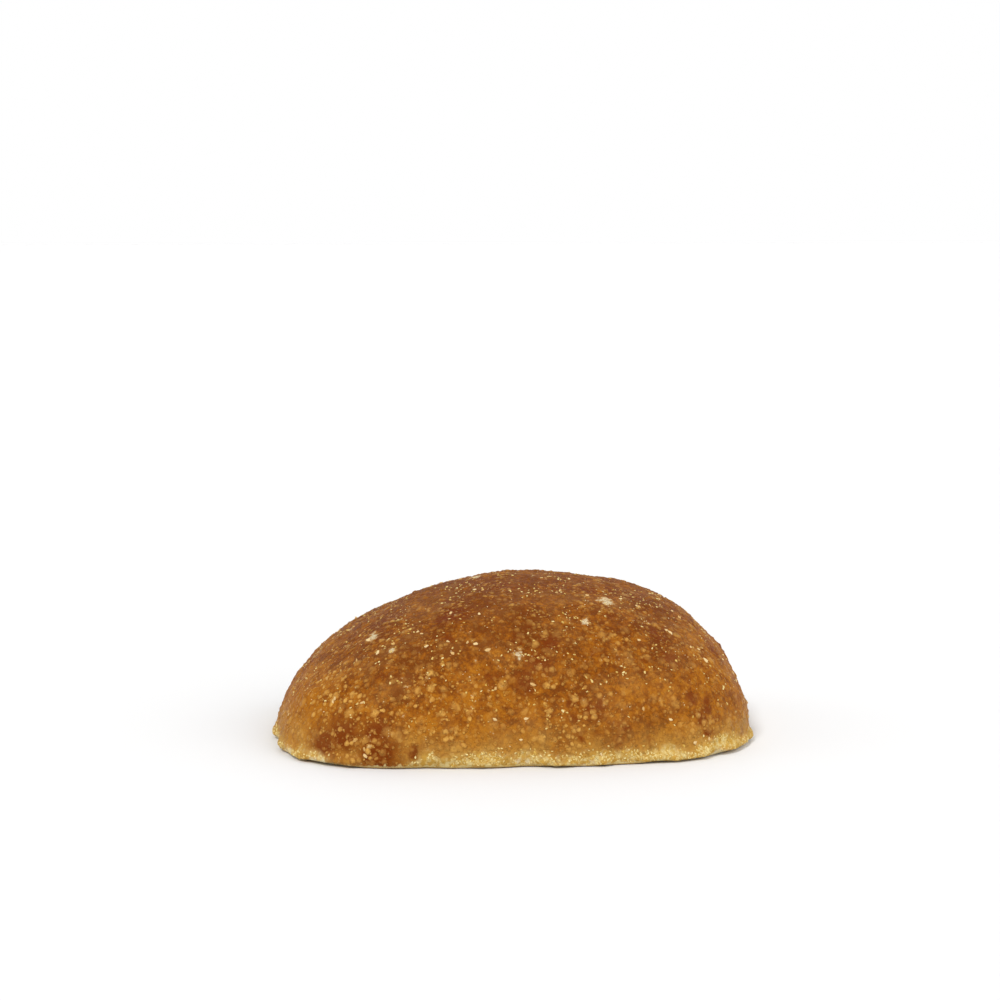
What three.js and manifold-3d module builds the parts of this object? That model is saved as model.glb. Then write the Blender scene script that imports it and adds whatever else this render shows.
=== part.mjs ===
// A ciabatta roll: one piece of bread with a flat underside, a squarish footprint with round
// corners, a low dome, and the soft lumps, crust bubbles and rippled foot of slack dough.
// Millimetres, +X along the roll, +Z up, origin under the middle of the flat underside.
import * as THREE from "three";
import { ImprovedNoise } from "three/addons/math/ImprovedNoise.js";
import { mergeVertices } from "three/addons/utils/BufferGeometryUtils.js";
import Module from "manifold-3d";

// Driving dimensions of the finished roll
const LENGTH = 133;
const DEPTH = 98;
const HEIGHT = 44;

// Height at which the roll is widest, and how far its rounded underside would hang below that
// height if the oven floor had not kept it flat
const WAIST_HEIGHT = 2.5;
const UNDERSIDE_HANG = 12;

// Powers of the rounded form: 2 is an ellipse, a larger power is squarer. Seen from above, the
// roll is squarish at its foot and rounder towards its crown; seen from the side, its left
// shoulder is fuller than its right.
const FOOT_POWER = 3.6;
const CROWN_POWER = 2.2;
const LEFT_POWER = 2.2;
const RIGHT_POWER = 2;

// How the dough settled: its crown lies off the middle, one end is thinner than the other,
// the left end spread into a low toe, and the footprint is a little askew, as dough cut by
// hand is
const CROWN_SHIFT_X = 6;
const CROWN_SHIFT_Y = 2;
const END_TAPER = 0.02;
const TOE_SPREAD = 5;
const TOE_TOP = 23; // height above the waist at which the toe has died out
const FOOTPRINT_SKEW = 0.03;

// Unevenness of the crust: each layer is a smooth random surface of this wavelength, which
// stands this far out or in
const CRUST_LAYERS = [
  { wavelength: 46, height: 1.5 },
  { wavelength: 19, height: 0.8 },
  { wavelength: 8, height: 0.3 },
];

// Gas bubbles that lift the crust
const BUBBLE_COUNT = 64;
const BUBBLE_RADIUS = { least: 3, most: 6.5 };
const BUBBLE_RISE = 0.17; // share of a bubble's radius that it stands out
const BUBBLE_LOWEST = 0.12; // of the dome's height, where the lowest bubbles are
const BUBBLE_JITTER = 0.16; // how far a bubble may stray from its even spacing on a unit dome
const BUBBLE_SEED = 7;

// Ripples of the foot, where the dough spread on the peel
const RIPPLE_WAVELENGTH = 9;
const RIPPLE_HEIGHT = 1.1;
const RIPPLE_REACH = 7; // height at which the ripples have died out

// Faceting: how often each edge of the first icosahedron is split
const SPLITS = 25;

const CRUST_COLOUR = 0xa8682a;
const CRUST_ROUGHNESS = 0.6;

const noise = new ImprovedNoise();

// The smooth form: a box-like ellipsoid, taller above its waist than below. The unit vector
// says which way the point lies from the middle of the waist.
function pillowPoint(unit) {
  const power = THREE.MathUtils.lerp(FOOT_POWER, CROWN_POWER, Math.max(unit.z, 0));
  const across = (Math.abs(unit.x) ** power + Math.abs(unit.y) ** power) ** (1 / power);
  const side = THREE.MathUtils.mapLinear(unit.x, -1, 1, LEFT_POWER, RIGHT_POWER);
  const reach = (across ** side + Math.abs(unit.z) ** side) ** (-1 / side);
  const rise = unit.z > 0 ? HEIGHT - WAIST_HEIGHT : UNDERSIDE_HANG;
  const sides = new THREE.Vector3(LENGTH / 2, DEPTH / 2, rise);
  return unit.clone().multiply(sides).multiplyScalar(reach);
}

// Leans, tapers, spreads and skews a point of the smooth form as the dough settled, and lifts it
// so that the underside is cut at z = 0.
function settle(point) {
  const lift = Math.max(point.z, 0) / (HEIGHT - WAIST_HEIGHT);
  const endward = point.x / (LENGTH / 2);
  const taper = 1 + END_TAPER * endward;
  const toe = TOE_SPREAD * Math.min(endward, 0) ** 2 * THREE.MathUtils.clamp(1 - point.z / TOE_TOP, 0, 1);
  return point.set(
    point.x - toe + CROWN_SHIFT_X * lift ** 2 + FOOTPRINT_SKEW * point.y,
    point.y + CROWN_SHIFT_Y * lift ** 2,
    WAIST_HEIGHT + point.z * (point.z > 0 ? taper : 1),
  );
}

// Bubbles spaced evenly over the dome on a golden spiral, each moved a little by a seeded draw.
function makeBubbles() {
  const golden = Math.PI * (3 - Math.sqrt(5));
  const draw = (low, high) => low + (high - low) * THREE.MathUtils.seededRandom();
  THREE.MathUtils.seededRandom(BUBBLE_SEED);
  return Array.from({ length: BUBBLE_COUNT }, (_, i) => {
    const height = 1 - ((i + 0.5) / BUBBLE_COUNT) * (1 - BUBBLE_LOWEST);
    const flat = Math.sqrt(1 - height ** 2);
    const unit = new THREE.Vector3(flat * Math.cos(i * golden), flat * Math.sin(i * golden), height);
    unit.x += draw(-BUBBLE_JITTER, BUBBLE_JITTER);
    unit.y += draw(-BUBBLE_JITTER, BUBBLE_JITTER);
    const size = draw(0, 1) ** 2; // most bubbles are small
    const radius = BUBBLE_RADIUS.least + (BUBBLE_RADIUS.most - BUBBLE_RADIUS.least) * size;
    return { centre: settle(pillowPoint(unit.normalize())), radius };
  });
}

// How far the crust stands out from the smooth form at a point.
function crustRelief(point, bubbles) {
  let relief = 0;
  for (const { wavelength, height } of CRUST_LAYERS) {
    relief += height * noise.noise(point.x / wavelength, point.y / wavelength, point.z / wavelength);
  }
  for (const { centre, radius } of bubbles) {
    const near = 1 - point.distanceToSquared(centre) / radius ** 2;
    if (near > 0) relief += radius * BUBBLE_RISE * near ** 2;
  }
  const foot = Math.max(0, 1 - Math.abs(point.z) / RIPPLE_REACH);
  const around = noise.noise(point.x / RIPPLE_WAVELENGTH, point.y / RIPPLE_WAVELENGTH, 0);
  return relief + RIPPLE_HEIGHT * foot * around;
}

// The whole crust as one closed surface, still round underneath.
function roundedDough() {
  const sphere = new THREE.IcosahedronGeometry(1, SPLITS);
  sphere.deleteAttribute("normal");
  sphere.deleteAttribute("uv");
  const dough = mergeVertices(sphere);
  const places = dough.getAttribute("position");
  const point = new THREE.Vector3();
  for (let i = 0; i < places.count; i++) {
    const settled = settle(pillowPoint(point.fromBufferAttribute(places, i).normalize()));
    places.setXYZ(i, settled.x, settled.y, settled.z);
  }
  dough.computeVertexNormals();
  const outward = dough.getAttribute("normal");
  const bubbles = makeBubbles();
  const way = new THREE.Vector3();
  for (let i = 0; i < places.count; i++) {
    point.fromBufferAttribute(places, i);
    way.fromBufferAttribute(outward, i);
    point.addScaledVector(way, crustRelief(point, bubbles));
    places.setXYZ(i, point.x, point.y, point.z);
  }
  dough.deleteAttribute("normal");
  return dough;
}

const wasm = await Module();
wasm.setup();

// A closed three.js geometry as a solid that can be cut.
function solidOf(geometry) {
  return new wasm.Manifold(
    new wasm.Mesh({
      numProp: 3,
      vertProperties: new Float32Array(geometry.getAttribute("position").array),
      triVerts: new Uint32Array(geometry.index.array),
    }),
  );
}

function geometryOf(solid) {
  const { vertProperties, triVerts } = solid.getMesh();
  const geometry = new THREE.BufferGeometry();
  geometry.setAttribute("position", new THREE.BufferAttribute(vertProperties, 3));
  geometry.setIndex(new THREE.BufferAttribute(triVerts, 1));
  return geometry;
}

// Everything under z = 0, which the oven floor took away.
function ovenFloor() {
  const thickness = 2 * UNDERSIDE_HANG;
  const slab = new THREE.BoxGeometry(2 * LENGTH, 2 * DEPTH, thickness).translate(0, 0, -thickness / 2);
  slab.deleteAttribute("normal");
  slab.deleteAttribute("uv");
  return mergeVertices(slab);
}

// Moves the roll over the origin and brings its outer size to the driving dimensions.
function fitToSize(geometry) {
  geometry.computeBoundingBox();
  const { min, max } = geometry.boundingBox;
  geometry.translate(-(min.x + max.x) / 2, -(min.y + max.y) / 2, -min.z);
  return geometry.scale(LENGTH / (max.x - min.x), DEPTH / (max.y - min.y), HEIGHT / (max.z - min.z));
}

const baked = geometryOf(solidOf(roundedDough()).subtract(solidOf(ovenFloor())));
const crust = new THREE.MeshStandardMaterial({
  color: CRUST_COLOUR,
  roughness: CRUST_ROUGHNESS,
  metalness: 0,
});
const roll = new THREE.Mesh(fitToSize(baked), crust);
roll.name = "ciabatta_roll";

const part = new THREE.Group();
part.add(roll);

export default part;
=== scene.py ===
# A ciabatta roll on a pale floor, with the cornmeal, flour and flakes that baked onto it.
import math

import bpy
from mathutils import Matrix, Vector


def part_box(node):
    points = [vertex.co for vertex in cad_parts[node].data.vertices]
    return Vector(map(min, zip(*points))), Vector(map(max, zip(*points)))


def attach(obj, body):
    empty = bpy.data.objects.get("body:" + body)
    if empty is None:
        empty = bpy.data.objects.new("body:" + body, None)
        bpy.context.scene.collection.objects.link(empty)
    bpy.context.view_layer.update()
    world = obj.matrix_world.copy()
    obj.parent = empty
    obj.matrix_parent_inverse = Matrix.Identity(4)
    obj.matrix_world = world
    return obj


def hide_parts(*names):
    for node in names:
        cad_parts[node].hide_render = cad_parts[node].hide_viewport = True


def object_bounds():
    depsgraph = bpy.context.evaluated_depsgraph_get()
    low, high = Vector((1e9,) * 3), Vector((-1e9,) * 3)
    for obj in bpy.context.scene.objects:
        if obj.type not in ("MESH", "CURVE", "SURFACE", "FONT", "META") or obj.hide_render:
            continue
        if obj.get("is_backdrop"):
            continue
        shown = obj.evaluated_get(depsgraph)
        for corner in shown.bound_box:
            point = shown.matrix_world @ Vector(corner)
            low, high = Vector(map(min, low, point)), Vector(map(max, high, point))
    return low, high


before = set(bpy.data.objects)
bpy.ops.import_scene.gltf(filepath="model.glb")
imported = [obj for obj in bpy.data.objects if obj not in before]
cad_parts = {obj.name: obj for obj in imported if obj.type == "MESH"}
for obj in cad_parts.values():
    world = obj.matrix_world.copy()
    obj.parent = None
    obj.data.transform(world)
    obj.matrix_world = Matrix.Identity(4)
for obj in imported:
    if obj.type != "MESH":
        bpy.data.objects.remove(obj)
cad_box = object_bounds()

# Crust
# The bread itself, one closed skin: slack wheat dough, cut by hand, proved on cornmeal and baked on a
# hot stone. It is golden brown and full of gas blisters, mealy at its foot and toasted underneath.
MM = 0.001
ROLL = "ciabatta_roll"
FIRST_CUTS = 40
VOXEL = 0.45 * MM
FACET_SMOOTHING = 30
TAUT_FROM, TAUT_FULL, TAUT_SMOOTHING = 5 * MM, 12 * MM, 120
CRUST_TRIANGLES = 190_000


def only(piece):
    """Leaves one object selected and active, for the next operator."""
    bpy.ops.object.select_all(action="DESELECT")
    piece.select_set(True)
    bpy.context.view_layer.objects.active = piece


def finish_with(piece, kind, **settings):
    """Adds a modifier to a piece and applies it."""
    only(piece)
    modifier = piece.modifiers.new(kind.lower(), kind)
    for name, value in settings.items():
        setattr(modifier, name, value)
    bpy.ops.object.modifier_apply(modifier=modifier.name)


low, high = (Vector(corner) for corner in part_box(ROLL))
bpy.ops.object.select_all(action="DESELECT")
bpy.ops.mesh.primitive_cube_add(size=1, location=(low + high) / 2, scale=high - low)
crust = bpy.context.active_object
crust.name = "crust"
bpy.ops.object.transform_apply(location=True, rotation=True, scale=True)
bpy.ops.object.mode_set(mode="EDIT")
bpy.ops.mesh.select_all(action="SELECT")
bpy.ops.mesh.subdivide(number_cuts=FIRST_CUTS)
bpy.ops.object.mode_set(mode="OBJECT")
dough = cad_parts[ROLL]
finish_with(crust, "SHRINKWRAP", target=dough, wrap_method="NEAREST_SURFACEPOINT")
finish_with(crust, "REMESH", mode="VOXEL", voxel_size=VOXEL)
finish_with(crust, "SHRINKWRAP", target=dough, wrap_method="NEAREST_SURFACEPOINT")
finish_with(crust, "SMOOTH", iterations=FACET_SMOOTHING)
taut = crust.vertex_groups.new(name="taut_skin")
for vertex in crust.data.vertices:
    share = (vertex.co.z - TAUT_FROM) / (TAUT_FULL - TAUT_FROM)
    taut.add([vertex.index], min(max(share, 0), 1), "REPLACE")
finish_with(crust, "SMOOTH", iterations=TAUT_SMOOTHING, vertex_group=taut.name)
crust.vertex_groups.clear()

# Where the roll is looked at from, and the places on the smooth dough of marks that show from there
LENS, SENSOR = 85, 36
PHOTO_WIDTH = 1000
PIXEL = 0.282 * MM
ROLL_MIDDLE = (510.5, 651)
CAMERA_TURN = math.radians(-6)
CAMERA_PITCH = math.radians(7.5)
focus = PHOTO_WIDTH * LENS / SENSOR
beside = (ROLL_MIDDLE[0] - PHOTO_WIDTH / 2) * PIXEL
above = (PHOTO_WIDTH / 2 - ROLL_MIDDLE[1]) * PIXEL
turned = Matrix.Rotation(CAMERA_TURN, 4, "Z") @ Matrix.Rotation(math.pi / 2 - CAMERA_PITCH, 4, "X")
stood_off = Matrix.Translation((-beside, -above, focus * PIXEL))
viewpoint = Matrix.Translation((low + high) / 2) @ turned @ stood_off


def seen_at(pixel):
    """The place on the dough that shows at a pixel of the photo."""
    across, down = (number - PHOTO_WIDTH / 2 for number in pixel)
    way = viewpoint.to_3x3() @ Vector((across, -down, -focus))
    _, place, _, _ = crust.ray_cast(viewpoint.translation, way.normalized())
    return place


def marks_at(spots):
    """Where marks lie on the dough, with their radii, from pixels of the photo and millimetres."""
    return [(seen_at(pixel), radius * MM) for pixel, radius in spots.items()]


FLOUR_SMEARS = marks_at(
    {(606, 601): 4.2, (373, 637): 3.8, (392, 651): 2.2, (518, 655): 2.6, (585, 622): 2.2}
)
DARK_PATCHES = marks_at(
    {(549, 643): 4.2, (538, 661): 4.6, (525, 682): 4.6, (672, 660): 4.0, (452, 615): 6.0, (600, 705): 2.5}
    | {(692, 698): 2.6, (701, 718): 3.2, (708, 733): 2.6}
    | {(343, 735): 8.0, (380, 757): 9.0, (377, 733): 6.0, (323, 741): 7.0}
)
BLISTER_CROWDS = marks_at({(355, 725): 15.0, (440, 705): 15.0, (330, 690): 12.0, (560, 714): 13.0})
DARK_FOOT = marks_at({(372, 757): 15.0})
MEALY_FOOT = marks_at({(722, 746): 14.0})


# Patterns of the crust, which its relief and its colours share
def put(tree, kind, feeds=(), **settings):
    """Adds a node with these settings; a feed is a value, or another node's output to link."""
    made = tree.nodes.new(kind)
    for name, value in settings.items():
        setattr(made, name, value)
    for socket, value in dict(feeds).items():
        if isinstance(value, bpy.types.NodeSocket):
            tree.links.new(value, made.inputs[socket])
        else:
            made.inputs[socket].default_value = value
    return made


def maths(tree, operation, *values, clamp=False):
    return put(tree, "ShaderNodeMath", enumerate(values), operation=operation, use_clamp=clamp).outputs[0]


def times(tree, one, other):
    return maths(tree, "MULTIPLY", one, other)


def most_of(tree, one, other):
    return maths(tree, "MAXIMUM", one, other)


def summed(tree, *terms):
    """The sum of some fields, each times its weight."""
    total = 0.0
    for field, weight in terms:
        total = maths(tree, "MULTIPLY_ADD", field, weight, total)
    return total


def centred(tree, field):
    """A field from 0 to 1 as one that is as often below zero as above."""
    return maths(tree, "SUBTRACT", field, 0.5)


def ease(tree, value, start, end, low=0.0, high=1.0):
    """Goes smoothly from low to high while the value goes from start to end."""
    feeds = {"Value": value, "From Min": start, "From Max": end, "To Min": low, "To Max": high}
    return put(tree, "ShaderNodeMapRange", feeds, interpolation_type="SMOOTHSTEP").outputs[0]


def along(tree, vector, axis):
    return put(tree, "ShaderNodeSeparateXYZ", {0: vector}).outputs[axis]


def moved(tree, place, way, operation="ADD"):
    return put(tree, "ShaderNodeVectorMath", {0: place, 1: way}, operation=operation).outputs[0]


def scaled(tree, way, size):
    return put(tree, "ShaderNodeVectorMath", {0: way, "Scale": size}, operation="SCALE").outputs[0]


CLOUD_ROUGHNESS = 0.55
WANDER_DETAIL = 2.0


def cloud_node(tree, place, width, detail, seed):
    feeds = {"Vector": moved(tree, place, (seed, seed, seed)), "Scale": 1 / width}
    feeds |= {"Detail": detail, "Roughness": CLOUD_ROUGHNESS}
    return put(tree, "ShaderNodeTexNoise", feeds)


def cloud(tree, place, width, detail, seed):
    """A random field from 0 to 1 with patches of about this width."""
    return cloud_node(tree, place, width, detail, seed).outputs[0]


def patches(tree, place, width, detail, seed, start, end, low=0.0, high=1.0):
    """A random field that goes from low to high while its noise goes from start to end."""
    return ease(tree, cloud(tree, place, width, detail, seed), start, end, low, high)


def wander(tree, place, width, far, seed):
    """The place moved up to this far at random, so that an outline drawn on it is uneven."""
    way = cloud_node(tree, place, width, WANDER_DETAIL, seed).outputs[1]
    way = moved(tree, way, (0.5, 0.5, 0.5), "SUBTRACT")
    return moved(tree, place, scaled(tree, way, 2 * far))


SMALL_DOMES = 1.6
# Where the ring of painted shade round each dome's foot lies, and how wide it is
RING_SHADE_PLACE, RING_SHADE_WIDTH = 1.05, 0.35


def domes(tree, place, cell, share, least, most):
    """Round domes, at most one to a cell of this width, on this share of the cells: 1 at a dome's
    middle and 0 outside it. With it come each dome's tone and a ring round its foot, which marks
    where shade is painted."""
    cells = put(tree, "ShaderNodeTexVoronoi", {"Vector": place, "Scale": 1 / cell}, feature="F1")
    draw = put(tree, "ShaderNodeSeparateXYZ", {0: cells.outputs["Color"]}).outputs
    spread = maths(tree, "POWER", draw[0], SMALL_DOMES)
    radius = maths(tree, "MULTIPLY_ADD", spread, (most - least) / cell, least / cell)
    away = maths(tree, "DIVIDE", cells.outputs["Distance"], radius)
    kept = maths(tree, "LESS_THAN", draw[1], share)
    dome = maths(tree, "SUBTRACT", 1.0, times(tree, away, away), clamp=True)
    off = maths(tree, "ABSOLUTE", maths(tree, "SUBTRACT", away, RING_SHADE_PLACE))
    ring_shade = times(tree, ease(tree, off, RING_SHADE_WIDTH, 0.0), kept)
    return times(tree, dome, kept), draw[2], ring_shade


BLISTERS = (
    {"cell": 3.1 * MM, "share": 0.65, "least": 0.7 * MM, "most": 1.8 * MM},
    {"cell": 1.7 * MM, "share": 0.9, "least": 0.45 * MM, "most": 1.0 * MM},
    {"cell": 0.9 * MM, "share": 0.9, "least": 0.2 * MM, "most": 0.5 * MM},
)
BLISTER_RISE = (0.28 * MM, 0.22 * MM, 0.13 * MM)
BLISTER_STRAY = {"width": 1.8 * MM, "far": 0.6 * MM, "seed": 0.0}
BLISTER_FRAY = {"width": 0.7 * MM, "far": 0.18 * MM, "seed": 21.0}
PITS = {"cell": 5 * MM, "share": 0.4, "least": 0.5 * MM, "most": 2.0 * MM}
PIT_DEPTH = 0.5 * MM


def uneven_place(tree, place):
    """Places to draw blisters and pits on, moved so that no blister is quite round."""
    return wander(tree, wander(tree, place, **BLISTER_STRAY), **BLISTER_FRAY)


# Relief of the crust
LUMPS, LUMP_RISE = {"width": 8 * MM, "detail": 2.0, "seed": 0.0}, 0.35 * MM
GRAIN, GRAIN_RISE = {"width": 1.5 * MM, "detail": 3.0, "seed": 0.0}, 0.3 * MM
RIPPLES, RIPPLE_RISE = {"width": 3.6 * MM, "detail": 3.0, "seed": 3.0}, 1.5 * MM
RIPPLE_TOP = 6 * MM
LIPS = {"width": 16 * MM, "detail": 2.0, "seed": 7.0, "start": 0.42, "end": 0.62, "high": 1.5 * MM}
LIP_TOP, LIP_FULL = 4 * MM, 1.33 * MM
BLISTERS_FROM, BLISTERS_FULL = 1 * MM, 5 * MM
FLANK_FACING, UNDER_FACING, FLAT_FACING = -0.2, -0.75, -0.98


def new_geometry_tree(name):
    tree = bpy.data.node_groups.new(name, "GeometryNodeTree")
    tree.interface.new_socket("Geometry", in_out="INPUT", socket_type="NodeSocketGeometry")
    tree.interface.new_socket("Geometry", in_out="OUTPUT", socket_type="NodeSocketGeometry")
    return tree


def baked_relief():
    """Lifts the skin into lumps, grain, blisters and a rippled foot, and pits the flat underside. The
    place on the smooth dough is kept, so that the colours can follow the same patterns."""
    tree = new_geometry_tree("baked_relief")
    skin = put(tree, "NodeGroupInput").outputs[0]
    place = put(tree, "GeometryNodeInputPosition").outputs[0]
    normal = put(tree, "GeometryNodeInputNormal").outputs[0]
    feeds = {"Geometry": skin, "Name": "dough_place", "Value": place}
    kept = put(tree, "GeometryNodeStoreNamedAttribute", feeds, data_type="FLOAT_VECTOR", domain="POINT")
    height = along(tree, place, "Z")
    facing = along(tree, normal, "Z")
    uneven = uneven_place(tree, place)
    ripples = centred(tree, cloud(tree, place, **RIPPLES))
    rise = summed(
        tree,
        (centred(tree, cloud(tree, place, **LUMPS)), LUMP_RISE),
        (centred(tree, cloud(tree, place, **GRAIN)), GRAIN_RISE),
        (times(tree, ripples, ease(tree, height, RIPPLE_TOP, 0.0)), RIPPLE_RISE),
        (patches(tree, place, **LIPS), ease(tree, height, LIP_TOP, LIP_FULL)),
    )
    clear = ease(tree, height, BLISTERS_FROM, BLISTERS_FULL)
    for layer, lift in zip(BLISTERS, BLISTER_RISE):
        dome, _, _ = domes(tree, uneven, **layer)
        rise = maths(tree, "MULTIPLY_ADD", times(tree, dome, lift), clear, rise)
    rise = times(tree, rise, ease(tree, facing, UNDER_FACING, FLANK_FACING))
    pits, _, _ = domes(tree, uneven, **PITS)
    pits = times(tree, pits, ease(tree, facing, UNDER_FACING, FLAT_FACING))
    rise = maths(tree, "MULTIPLY_ADD", pits, -PIT_DEPTH, rise)
    feeds = {"Geometry": kept.outputs[0], "Offset": scaled(tree, normal, rise)}
    raised = put(tree, "GeometryNodeSetPosition", feeds)
    put(tree, "NodeGroupOutput", {0: raised.outputs[0]})
    return tree


finish_with(crust, "NODES", node_group=baked_relief())
crust.data.calc_loop_triangles()
finish_with(crust, "DECIMATE", ratio=CRUST_TRIANGLES / len(crust.data.loop_triangles))
bpy.ops.object.shade_smooth()


# Colours of the crust
def new_material(name):
    material = bpy.data.materials.new(name)
    material.use_nodes = True
    material.node_tree.nodes.clear()
    return material


def colour_of(red, green, blue):
    """A screen colour, 0 to 255, as the linear colour that a shader takes."""
    parts = [part / 255 for part in (red, green, blue)]
    return [part / 12.92 if part <= 0.04045 else ((part + 0.055) / 1.055) ** 2.4 for part in parts] + [1]


def blend(tree, share, under, over):
    feeds = {0: share, 6: under, 7: over}
    return put(tree, "ShaderNodeMix", feeds, data_type="RGBA").outputs[2]


def marks(tree, place, spots):
    """Blurred round marks on the dough: 1 at a mark's middle, 0 outside it."""
    found = 0.0
    for middle, radius in spots:
        away = put(tree, "ShaderNodeVectorMath", {0: place, 1: middle}, operation="DISTANCE")
        mark = maths(tree, "DIVIDE", away.outputs["Value"], radius)
        found = most_of(tree, found, maths(tree, "SUBTRACT", 1.0, mark, clamp=True))
    return found


GOLD = colour_of(157, 95, 14)
AMBER = colour_of(135, 74, 6)
BROWN = colour_of(106, 51, 4)
RED_BROWN = colour_of(104, 40, 0)
BROAD_BAKE = {"width": 22 * MM, "detail": 2.0, "seed": 0.0, "start": 0.3, "end": 0.7}
MOTTLE = {"width": 4.5 * MM, "detail": 4.0, "seed": 1.0, "start": 0.25, "end": 0.75}
BLOTCHES = {"width": 2.2 * MM, "detail": 3.0, "seed": 23.0, "start": 0.28, "end": 0.72}
FINE_GRAIN = {"width": 0.9 * MM, "detail": 3.0, "seed": 2.0, "start": 0.25, "end": 0.75}
BURNT = {"width": 9 * MM, "detail": 4.0, "seed": 15.0, "start": 0.55, "end": 0.72}
DARK_STRAY = {"width": 4 * MM, "far": 2.2 * MM, "seed": 0.0}
DARK_CORE, DARK_DEPTH = 1.5, 0.9
# The crust darkens towards the top: partly browner baking, partly painted shade.
DARKER_FROM, DARKER_FULL = 12 * MM, 40 * MM
ENDS_FROM, ENDS_FULL = 36 * MM, 64 * MM
BROAD_BAKE_SHARE, MOTTLE_SHARE, BLOTCH_SHARE, GRAIN_SHARE = 0.3, 0.42, 0.45, 0.45
TOP_BAKE_AND_SHADE_SHARE, ENDS_SHARE = 0.3, -0.25
AMBER_FROM, AMBER_FULL = 0.46, 0.86
BROWN_FROM, BROWN_FULL = 0.78, 1.2


def dark_places(tree, place):
    """Where the crust caught the heat: the patches that show in front, and others all over."""
    shown = marks(tree, wander(tree, place, **DARK_STRAY), DARK_PATCHES)
    shown = maths(tree, "MULTIPLY", shown, DARK_CORE, clamp=True)
    return most_of(tree, shown, patches(tree, place, **BURNT))


def baked_colour(tree, place, fine, dark):
    """Gold where the crust baked least, through amber to brown, and red-brown in the dark places. Darker
    towards the top, partly as browner baking and partly as painted shade.
    """
    endward = maths(tree, "ABSOLUTE", along(tree, place, "X"))
    bake = summed(
        tree,
        (patches(tree, place, **BROAD_BAKE), BROAD_BAKE_SHARE),
        (patches(tree, place, **MOTTLE), MOTTLE_SHARE),
        (patches(tree, place, **BLOTCHES), BLOTCH_SHARE),
        # Darker towards the top: partly baking, partly painted shade.
        (ease(tree, along(tree, place, "Z"), DARKER_FROM, DARKER_FULL), TOP_BAKE_AND_SHADE_SHARE),
        (ease(tree, endward, ENDS_FROM, ENDS_FULL), ENDS_SHARE),
        (fine, GRAIN_SHARE),
    )
    colour = blend(tree, ease(tree, bake, AMBER_FROM, AMBER_FULL), GOLD, AMBER)
    colour = blend(tree, ease(tree, bake, BROWN_FROM, BROWN_FULL), colour, BROWN)
    return blend(tree, times(tree, dark, DARK_DEPTH), colour, RED_BROWN)


BLISTER_TAN = colour_of(196, 147, 70)
BLISTER_FAINTEST = (0.2, 0.2, 0.15)
BLISTER_BRIGHTEST = (0.62, 0.7, 0.62)
BLISTER_FULLNESS = 0.85
TONE_FROM = 0.1
# How dark the painted shade in the ring round each blister's foot is
RING_SHADE_DEPTH = 0.42
CROWD_CORE, CROWD_MOST = 2.5, 1.5
CROWD_ON_SMOOTH, CROWD_OVER_GRAIN = 1.3, -0.6
CROWDING = {"width": 11 * MM, "detail": 3.0, "seed": 13.0, "start": 0.36, "end": 0.62, "low": 0.25}


def blistered_colour(tree, place, fine, colour):
    """Thin pale skin over the blisters, more of it where they crowd, and painted shade in a dark ring
    round each. With it comes how much blister there is."""
    shown = maths(tree, "MULTIPLY", marks(tree, place, BLISTER_CROWDS), CROWD_CORE, clamp=True)
    crowd = most_of(tree, patches(tree, place, **CROWDING), times(tree, shown, CROWD_MOST))
    crowd = times(tree, crowd, maths(tree, "MULTIPLY_ADD", fine, CROWD_OVER_GRAIN, CROWD_ON_SMOOTH))
    uneven = uneven_place(tree, place)
    pale, ring_shades = 0.0, 0.0
    for layer, faintest, brightest in zip(BLISTERS, BLISTER_FAINTEST, BLISTER_BRIGHTEST):
        dome, tone, ring_shade = domes(tree, uneven, **layer)
        bright = ease(tree, tone, TONE_FROM, 1.0, faintest, brightest)
        pale = most_of(tree, pale, times(tree, maths(tree, "POWER", dome, BLISTER_FULLNESS), bright))
        ring_shades = most_of(tree, ring_shades, times(tree, ring_shade, tone))
    pale = times(tree, pale, crowd)
    # Painted shade: the ring round each blister's foot darkens the crust towards brown.
    colour = blend(tree, times(tree, ring_shades, RING_SHADE_DEPTH), colour, BROWN)
    return blend(tree, pale, colour, BLISTER_TAN), pale


FOOT_GLOW = colour_of(177, 135, 62)
FOOT_GOLD = colour_of(188, 151, 66)
FOOT_CREAM = colour_of(207, 188, 130)
GLOW = {"width": 9 * MM, "detail": 3.0, "seed": 18.0, "start": 0.3, "end": 0.65, "low": 0.3}
GLOW_TOP, GLOW_FULL, GLOW_DEPTH = 14 * MM, 2 * MM, 0.8
EDGE_SWELL = {"width": 17 * MM, "detail": 2.0, "seed": 16.0, "start": 0.35, "end": 0.65}
EDGE_RAGS = {"width": 3.5 * MM, "detail": 4.0, "seed": 4.0}
EDGE_HEIGHT, EDGE_SWELL_RISE, EDGE_RAG_RISE = 1.1 * MM, 2.4 * MM, 5 * MM
DARK_FOOT_DROP, MEALY_FOOT_RISE = 8 * MM, 4 * MM
FOOT_FROM, FOOT_FULL = 2.4 * MM, -1.0 * MM
CREAM = {"width": 1.4 * MM, "detail": 4.0, "seed": 14.0, "start": 0.4, "end": 0.68}
MEAL_LEAST, MEAL_MORE = 0.6, 0.35
RIM_LEAST, RIM_MORE = 0.6 * MM, 1.0 * MM
RIM_FROM, RIM_FULL, RIM_DEPTH = 0.5 * MM, -0.2 * MM, 0.7


def glowing_colour(tree, place, dark, colour):
    """The crust turns golden towards the foot, where it baked less, but not in the dark places."""
    low_down = ease(tree, along(tree, place, "Z"), GLOW_TOP, GLOW_FULL)
    glow = times(tree, patches(tree, place, **GLOW), low_down)
    glow = times(tree, glow, maths(tree, "SUBTRACT", 1.0, dark))
    return blend(tree, times(tree, glow, GLOW_DEPTH), colour, FOOT_GLOW)


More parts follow.
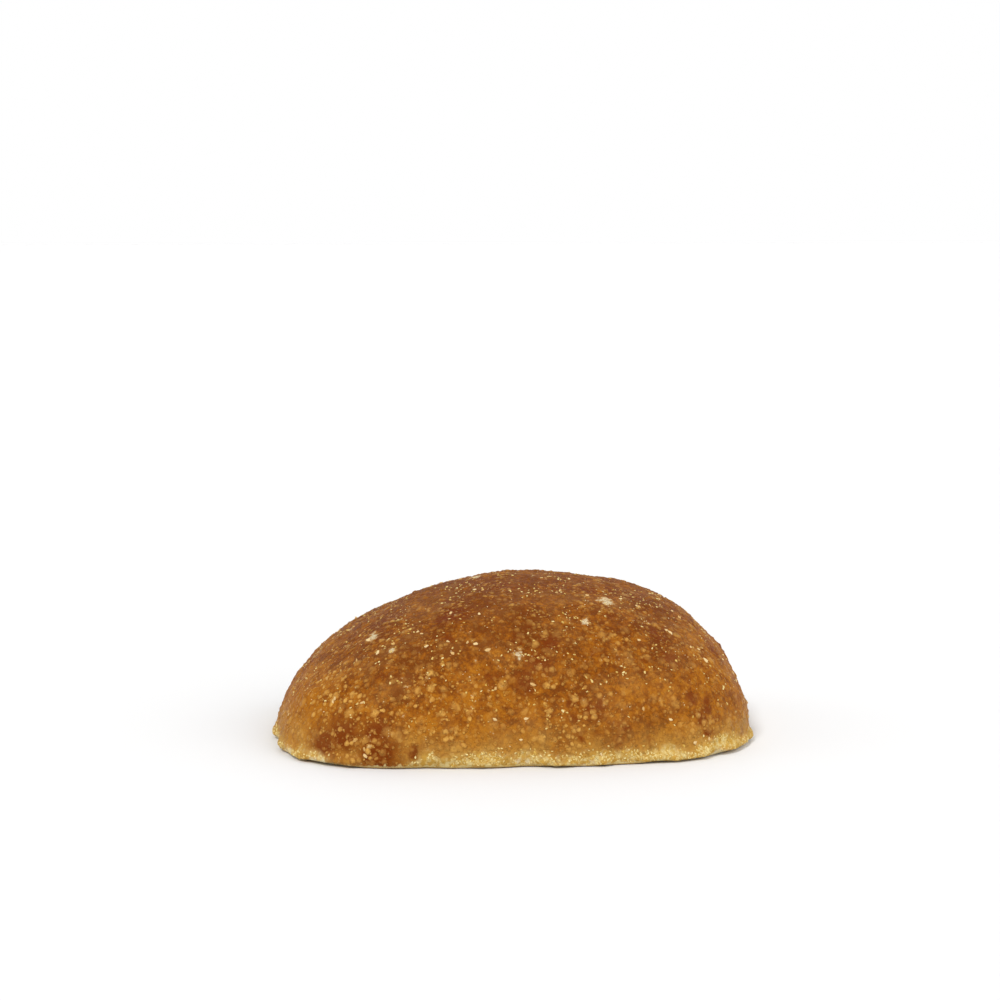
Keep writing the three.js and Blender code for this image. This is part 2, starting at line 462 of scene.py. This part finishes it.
def above_foot(tree, place):
    """How far a place is above the uneven height up to which meal clings to the foot."""
    edge = summed(
        tree,
        (1.0, EDGE_HEIGHT),
        (patches(tree, place, **EDGE_SWELL), EDGE_SWELL_RISE),
        (centred(tree, cloud(tree, place, **EDGE_RAGS)), EDGE_RAG_RISE),
        (marks(tree, place, DARK_FOOT), -DARK_FOOT_DROP),
        (marks(tree, place, MEALY_FOOT), MEALY_FOOT_RISE),
    )
    return maths(tree, "SUBTRACT", along(tree, place, "Z"), edge)


def mealy_colour(tree, place, foot, colour):
    """Golden meal and cream flour baked onto the foot, and a cream rim where it met the stone."""
    cream = patches(tree, place, **CREAM)
    meal = times(tree, foot, maths(tree, "MULTIPLY_ADD", cream, MEAL_MORE, MEAL_LEAST))
    colour = blend(tree, meal, colour, blend(tree, cream, FOOT_GOLD, FOOT_CREAM))
    rim = maths(tree, "MULTIPLY_ADD", cream, RIM_MORE, RIM_LEAST)
    rim = ease(tree, maths(tree, "SUBTRACT", along(tree, place, "Z"), rim), RIM_FROM, RIM_FULL)
    return blend(tree, times(tree, rim, RIM_DEPTH), colour, FOOT_CREAM)


UNDER_GOLD = colour_of(186, 140, 66)
UNDER_BROWN = colour_of(134, 84, 32)
TOAST = {"width": 24 * MM, "detail": 3.0, "seed": 20.0}
TOAST_UNEVENNESS = 0.35
TOAST_FROM, TOAST_FULL = 0.2, 0.95
PIT_PALENESS = 0.6
UNDER_FROM, UNDER_FULL = 0.7 * MM, 0.1 * MM


def toasted_colour(tree, place, fine):
    """The flat underside, toasted by the stone, with pale dough in its pits."""
    toast = summed(
        tree,
        (cloud(tree, place, **TOAST), 1.0),
        (centred(tree, patches(tree, place, **MOTTLE)), TOAST_UNEVENNESS),
        (centred(tree, fine), TOAST_UNEVENNESS),
    )
    colour = blend(tree, ease(tree, toast, TOAST_FROM, TOAST_FULL), UNDER_GOLD, UNDER_BROWN)
    pits, _, _ = domes(tree, uneven_place(tree, place), **PITS)
    return blend(tree, times(tree, pits, PIT_PALENESS), colour, FOOT_CREAM)


FLOUR_WHITE = colour_of(210, 197, 160)
FLOUR_FRINGE = colour_of(196, 148, 82)
STRAY_SMEARS = {"cell": 19 * MM, "share": 0.4, "least": 1.2 * MM, "most": 3.2 * MM}
STRAYS_FROM, STRAYS_FULL = -20 * MM, 0.0
SMEAR_RAGS, SMEAR_TEAR = {"width": 1.8 * MM, "detail": 5.0, "seed": 5.0}, 2.2
SMEAR_FROM, SMEAR_FULL = 0.2, 0.8
CRUMBS = {"width": 0.5 * MM, "detail": 3.0, "seed": 22.0, "start": 0.35, "end": 0.65, "low": 0.55}
DRIFTS = {"width": 6 * MM, "detail": 5.0, "seed": 8.0, "start": 0.5, "end": 0.66}
DRIFTS_TOP, DRIFTS_FULL = 5 * MM, 0.5 * MM
DARK_FOOT_BARE, DARK_FOOT_EDGE = 0.4, 0.1
DUST = {"width": 11 * MM, "detail": 5.0, "seed": 19.0, "start": 0.42, "end": 0.75, "high": 0.12}


def flour_patches(tree, place):
    """Where flour lies thick: the torn smears that show in front, others behind, and along the foot."""
    strays, _, _ = domes(tree, place, **STRAY_SMEARS)
    strays = times(tree, strays, ease(tree, along(tree, place, "Y"), STRAYS_FROM, STRAYS_FULL))
    smears = most_of(tree, marks(tree, place, FLOUR_SMEARS), strays)
    rags = centred(tree, cloud(tree, place, **SMEAR_RAGS))
    torn = maths(tree, "MULTIPLY_ADD", rags, SMEAR_TEAR, smears)
    smears = times(tree, ease(tree, torn, SMEAR_FROM, SMEAR_FULL), patches(tree, place, **CRUMBS))
    low_down = ease(tree, along(tree, place, "Z"), DRIFTS_TOP, DRIFTS_FULL)
    floured = ease(tree, marks(tree, place, DARK_FOOT), DARK_FOOT_BARE, DARK_FOOT_EDGE)
    low_down = times(tree, low_down, floured)
    return most_of(tree, smears, times(tree, patches(tree, place, **DRIFTS), low_down))


FLOUR_COVER, FLOUR_COVER_UNDER = 0.9, 0.3
THICK_FROM, THICK_FULL = 0.25, 0.7
WARM_GLOSS = (1.0, 0.72, 0.36, 1)
CRUST_GLOSS = 0.16
SKIN_ROUGHNESS, BLISTER_ROUGHNESS, MEALY_ROUGHNESS = 0.5, 0.3, 0.35
SHINY_BLISTER = 0.5
PORES = {"width": 0.6 * MM, "detail": 4.0, "seed": 6.0}
PORE_DEPTH = 0.25 * MM
PIMPLE_SHARE = 0.7


def crust_material():
    material = new_material("baked_crust")
    tree = material.node_tree
    place = put(tree, "ShaderNodeAttribute", attribute_name="dough_place").outputs["Vector"]
    fine = patches(tree, place, **FINE_GRAIN)
    dark = dark_places(tree, place)
    colour = glowing_colour(tree, place, dark, baked_colour(tree, place, fine, dark))
    colour, blister = blistered_colour(tree, place, fine, colour)
    foot = ease(tree, above_foot(tree, place), FOOT_FROM, FOOT_FULL)
    colour = mealy_colour(tree, place, foot, colour)
    under = ease(tree, along(tree, place, "Z"), UNDER_FROM, UNDER_FULL)
    colour = blend(tree, under, colour, toasted_colour(tree, place, fine))
    colour = blend(tree, patches(tree, place, **DUST), colour, FLOUR_FRINGE)
    flour = flour_patches(tree, place)
    cover = maths(tree, "MULTIPLY_ADD", under, FLOUR_COVER_UNDER - FLOUR_COVER, FLOUR_COVER)
    thick = ease(tree, flour, THICK_FROM, THICK_FULL)
    floury = blend(tree, thick, FLOUR_FRINGE, FLOUR_WHITE)
    colour = blend(tree, times(tree, flour, cover), colour, floury)
    rough = ease(tree, blister, 0.0, SHINY_BLISTER, SKIN_ROUGHNESS, BLISTER_ROUGHNESS)
    rough = maths(tree, "MULTIPLY_ADD", most_of(tree, foot, flour), MEALY_ROUGHNESS, rough)
    pimples, _, _ = domes(tree, uneven_place(tree, place), **BLISTERS[-1])
    grain = maths(tree, "MULTIPLY_ADD", pimples, PIMPLE_SHARE, cloud(tree, place, **PORES))
    bump = put(tree, "ShaderNodeBump", {"Distance": PORE_DEPTH, "Height": grain})
    feeds = {"Base Color": colour, "Roughness": rough, "Normal": bump.outputs[0]}
    feeds |= {"Specular IOR Level": CRUST_GLOSS, "Specular Tint": WARM_GLOSS}
    surface = put(tree, "ShaderNodeBsdfPrincipled", feeds)
    put(tree, "ShaderNodeOutputMaterial", {"Surface": surface.outputs[0]})
    return material


crust.data.materials.clear()
crust.data.materials.append(crust_material())
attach(crust, "root")
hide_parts(ROLL)

# Cornmeal
# Coarse yellow grains of ground maize from the proving board. They are baked into a thick line round
# the foot and lie thinly over the rest of the crust.
CORNMEAL_SIZE, CORNMEAL_SINK = 0.36 * MM, 0.08 * MM
CORNMEAL_LEAST, CORNMEAL_MOST = (0.4, 0.35, 0.25), (1.7, 1.15, 0.65)
LINE_FROM, LINE_FULL = 3.5 * MM, -1 * MM
LINE_CLUMPS = {"width": 4 * MM, "detail": 3.0, "seed": 9.0, "start": 0.35, "end": 0.65, "low": 0.15}
SPARSE_MEAL = {"width": 9 * MM, "detail": 4.0, "seed": 10.0, "start": 0.42, "end": 0.75}
LINE_GRAINS, SPARSE_GRAINS = 4.0e6, 0.3e6
LINE_THINNING = 2.0
STREWN_FROM, STREWN_FULL, STREWN_LEAST = 8 * MM, 26 * MM, 0.15
STONE_FACING = -0.35
GRAIN_TILT = 0.6
MAIZE_PALE = colour_of(216, 197, 136)
MAIZE_DEEP = colour_of(189, 151, 64)
MEAL_MOTTLE = {"width": 0.3 * MM, "detail": 2.0, "seed": 11.0}
MEAL_GLOSS = 0.2


def add_grain(name, radius, roughness, seed):
    """One uneven grain of few faces, at the origin."""
    bpy.ops.object.select_all(action="DESELECT")
    bpy.ops.mesh.primitive_ico_sphere_add(subdivisions=1, radius=radius)
    grain = bpy.context.active_object
    grain.name = name
    bpy.ops.object.mode_set(mode="EDIT")
    bpy.ops.mesh.select_all(action="SELECT")
    bpy.ops.transform.vertex_random(offset=radius * roughness, seed=seed)
    bpy.ops.object.mode_set(mode="OBJECT")
    return grain


def strew(grain, density, least, most, sink, seed):
    """Strews copies of a grain over the crust, this many to a square metre, and keeps them as mesh.
    Each copy gets its own turn, size and tone; none lies on the underside."""
    tree = new_geometry_tree(grain.name + "_strewn")
    model = put(tree, "NodeGroupInput").outputs[0]
    bread = put(tree, "GeometryNodeObjectInfo", {"Object": crust}).outputs["Geometry"]
    kept = {"Name": "dough_place"}
    place = put(tree, "GeometryNodeInputNamedAttribute", kept, data_type="FLOAT_VECTOR").outputs[0]
    facing = along(tree, put(tree, "GeometryNodeInputNormal").outputs[0], "Z")
    thick = times(tree, density(tree, place), maths(tree, "GREATER_THAN", facing, STONE_FACING))
    feeds = {"Mesh": bread, "Density": thick, "Seed": seed}
    points = put(tree, "GeometryNodeDistributePointsOnFaces", feeds, distribute_method="RANDOM").outputs
    feeds = {1: (GRAIN_TILT, GRAIN_TILT, math.tau), "Seed": seed + 1}
    turn = put(tree, "FunctionNodeRandomValue", feeds, data_type="FLOAT_VECTOR").outputs[0]
    feeds = {0: points["Rotation"], 1: turn}
    turn = put(tree, "FunctionNodeRotateRotation", feeds, rotation_space="LOCAL").outputs[0]
    feeds = {0: least, 1: most, "Seed": seed + 2}
    size = put(tree, "FunctionNodeRandomValue", feeds, data_type="FLOAT_VECTOR").outputs[0]
    feeds = {"Points": points["Points"], "Instance": model, "Rotation": turn, "Scale": size}
    copies = put(tree, "GeometryNodeInstanceOnPoints", feeds).outputs[0]
    feeds = {0: copies, "Translation": (0, 0, -sink)}
    sunk = put(tree, "GeometryNodeTranslateInstances", feeds).outputs[0]
    tone = put(tree, "FunctionNodeRandomValue", {"Seed": seed + 3}, data_type="FLOAT").outputs[1]
    feeds = {0: sunk, "Name": "tone", "Value": tone}
    toned = put(tree, "GeometryNodeStoreNamedAttribute", feeds, data_type="FLOAT", domain="INSTANCE")
    real = put(tree, "GeometryNodeRealizeInstances", {0: toned.outputs[0]})
    put(tree, "NodeGroupOutput", {0: real.outputs[0]})
    finish_with(grain, "NODES", node_group=tree)


def strewn_from_above(tree, place, pattern):
    """A pattern of what fell on the roll, which holds on the top and mostly slid off the flanks."""
    held = ease(tree, along(tree, place, "Z"), STREWN_FROM, STREWN_FULL, STREWN_LEAST, 1.0)
    return times(tree, patches(tree, place, **pattern), held)


def cornmeal_density(tree, place):
    line = ease(tree, above_foot(tree, place), LINE_FROM, LINE_FULL)
    line = maths(tree, "POWER", line, LINE_THINNING)
    line = times(tree, line, patches(tree, place, **LINE_CLUMPS))
    sparse = strewn_from_above(tree, place, SPARSE_MEAL)
    return summed(tree, (line, LINE_GRAINS), (sparse, SPARSE_GRAINS))


def meal_tones():
    """A node group for dry meal: each grain's own tone between two colours, with a fine mottle."""
    group = bpy.data.node_groups.new("meal_tones", "ShaderNodeTree")
    group.interface.new_socket("Pale", in_out="INPUT", socket_type="NodeSocketColor")
    group.interface.new_socket("Deep", in_out="INPUT", socket_type="NodeSocketColor")
    group.interface.new_socket("Mottle", in_out="INPUT", socket_type="NodeSocketFloat")
    group.interface.new_socket("Colour", in_out="OUTPUT", socket_type="NodeSocketColor")
    given = put(group, "NodeGroupInput").outputs
    place = put(group, "ShaderNodeTexCoord").outputs["Object"]
    tone = put(group, "ShaderNodeAttribute", attribute_name="tone").outputs["Fac"]
    mottle = centred(group, cloud(group, place, **MEAL_MOTTLE))
    tone = maths(group, "MULTIPLY_ADD", mottle, given["Mottle"], tone, clamp=True)
    put(group, "NodeGroupOutput", {"Colour": blend(group, tone, given["Pale"], given["Deep"])})
    return group


dry_meal = meal_tones()


def meal_material(name, pale, deep, mottle, roughness):
    material = new_material(name)
    tree = material.node_tree
    feeds = {"Pale": pale, "Deep": deep, "Mottle": mottle}
    tones = put(tree, "ShaderNodeGroup", feeds, node_tree=dry_meal)
    feeds = {"Base Color": tones.outputs["Colour"], "Roughness": roughness}
    feeds |= {"Specular IOR Level": MEAL_GLOSS}
    surface = put(tree, "ShaderNodeBsdfPrincipled", feeds)
    put(tree, "ShaderNodeOutputMaterial", {"Surface": surface.outputs[0]})
    return material


cornmeal = add_grain("cornmeal", CORNMEAL_SIZE, roughness=0.5, seed=3)
strew(cornmeal, cornmeal_density, CORNMEAL_LEAST, CORNMEAL_MOST, CORNMEAL_SINK, seed=21)
cornmeal.data.materials.clear()
cornmeal.data.materials.append(
    meal_material("cornmeal", MAIZE_PALE, MAIZE_DEEP, mottle=0.6, roughness=0.6)
)
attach(cornmeal, "root")

# Flour
# Fine wheat flour and semolina left from shaping. It lies in a few thick spots and in smears along
# the foot, with single specks all over the crust.
FLOUR_SIZE, FLOUR_SINK = 0.19 * MM, 0.04 * MM
FLOUR_LEAST, FLOUR_MOST = (0.3, 0.3, 0.25), (1.8, 1.3, 0.7)
SPECKS = {"width": 4 * MM, "detail": 4.0, "seed": 12.0, "start": 0.42, "end": 0.8}
THICK_GRAINS, SPECK_GRAINS = 2.6e6, 0.3e6
FLOUR_PALE = colour_of(218, 196, 150)
FLOUR_TOASTED = colour_of(164, 112, 52)


def flour_density(tree, place):
    specks = strewn_from_above(tree, place, SPECKS)
    return summed(tree, (flour_patches(tree, place), THICK_GRAINS), (specks, SPECK_GRAINS))


flour = add_grain("flour", FLOUR_SIZE, roughness=0.3, seed=4)
strew(flour, flour_density, FLOUR_LEAST, FLOUR_MOST, FLOUR_SINK, seed=31)
flour.data.materials.clear()
flour.data.materials.append(
    meal_material("flour", FLOUR_PALE, FLOUR_TOASTED, mottle=0.6, roughness=0.85)
)
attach(flour, "root")

# Flakes
# Flat flakes of bran and semolina, cream to pale gold, that stuck to the wet dough here and there and
# baked on.
FLAKE_SIZE, FLAKE_SINK = 0.75 * MM, 0.06 * MM
FLAKE_LEAST, FLAKE_MOST = (0.6, 0.5, 0.25), (1.25, 1.0, 0.42)
FLAKE_PATCHES = {"width": 15 * MM, "detail": 3.0, "seed": 17.0, "start": 0.4, "end": 0.7}
FLAKE_GRAINS = 0.015e6
FLAKE_CREAM = colour_of(216, 190, 140)
FLAKE_GOLD = colour_of(186, 142, 76)


def flake_density(tree, place):
    return times(tree, patches(tree, place, **FLAKE_PATCHES), FLAKE_GRAINS)


flakes = add_grain("flakes", FLAKE_SIZE, roughness=0.4, seed=6)
strew(flakes, flake_density, FLAKE_LEAST, FLAKE_MOST, FLAKE_SINK, seed=41)
flakes.data.materials.clear()
flakes.data.materials.append(
    meal_material("flakes", FLAKE_CREAM, FLAKE_GOLD, mottle=0.6, roughness=0.7)
)
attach(flakes, "root")

# Floor
# A plain pale studio table, wide enough to run out of sight, with a matt painted top.
FLOOR_SIZE = 12
FLOOR_PAINT, FLOOR_ROUGHNESS = (0.76, 0.76, 0.76, 1), 0.9
bpy.ops.object.select_all(action="DESELECT")
bpy.ops.mesh.primitive_plane_add(size=FLOOR_SIZE)
floor = bpy.context.active_object
floor.name = "floor"
floor_top = new_material("pale_floor")
feeds = {"Base Color": FLOOR_PAINT, "Roughness": FLOOR_ROUGHNESS}
paint = put(floor_top.node_tree, "ShaderNodeBsdfPrincipled", feeds)
put(floor_top.node_tree, "ShaderNodeOutputMaterial", {"Surface": paint.outputs[0]})
floor.data.materials.append(floor_top)
floor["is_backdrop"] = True

# Light and camera
# Soft boxes round the table in a white room, and the camera a little above the roll. The room looks
# white behind the table and gives a dimmer, even light.
ROOM_LIGHT = 0.45
ROOM_WHITE = (1, 1, 1, 1)
NEAREST_SEEN = 10 * MM
world = bpy.data.worlds.new("studio")
bpy.context.scene.world = world
world.use_nodes = True
room = world.node_tree
room.nodes.clear()
seen = put(room, "ShaderNodeLightPath").outputs["Is Camera Ray"]
shine = maths(room, "MULTIPLY_ADD", seen, 1 - ROOM_LIGHT, ROOM_LIGHT)
backdrop = put(room, "ShaderNodeBackground", {"Color": ROOM_WHITE, "Strength": shine})
put(room, "ShaderNodeOutputWorld", {"Surface": backdrop.outputs[0]})
bpy.context.scene.view_settings.view_transform = "Standard"


def softbox(name, turn, height, strength, spread, glints):
    """A wide soft light far off, from this compass turn and height in degrees."""
    lamp = bpy.data.lights.new(name, "SUN")
    lamp.energy = strength
    lamp.angle = math.radians(spread)
    box = bpy.data.objects.new(name, lamp)
    box.rotation_euler = (math.radians(90 - height), 0, math.radians(turn))
    box.visible_glossy = glints
    bpy.context.scene.collection.objects.link(box)


softbox("key", turn=-32, height=46, strength=2.0, spread=16, glints=True)
softbox("fill", turn=45, height=30, strength=1.1, spread=50, glints=True)
softbox("left", turn=-95, height=20, strength=0.55, spread=50, glints=False)
softbox("right", turn=95, height=20, strength=0.55, spread=50, glints=False)
softbox("back", turn=165, height=45, strength=0.7, spread=60, glints=False)

lens = bpy.data.cameras.new("camera")
lens.lens = LENS
lens.sensor_width = SENSOR
lens.clip_start = NEAREST_SEEN
camera = bpy.data.objects.new("camera", lens)
camera.matrix_world = viewpoint
bpy.context.scene.collection.objects.link(camera)
bpy.context.scene.camera = camera

boxes = {"cad": cad_box, "visual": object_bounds()}
boxes = {name: [[round(number, 6) for number in corner] for corner in box] for name, box in boxes.items()}
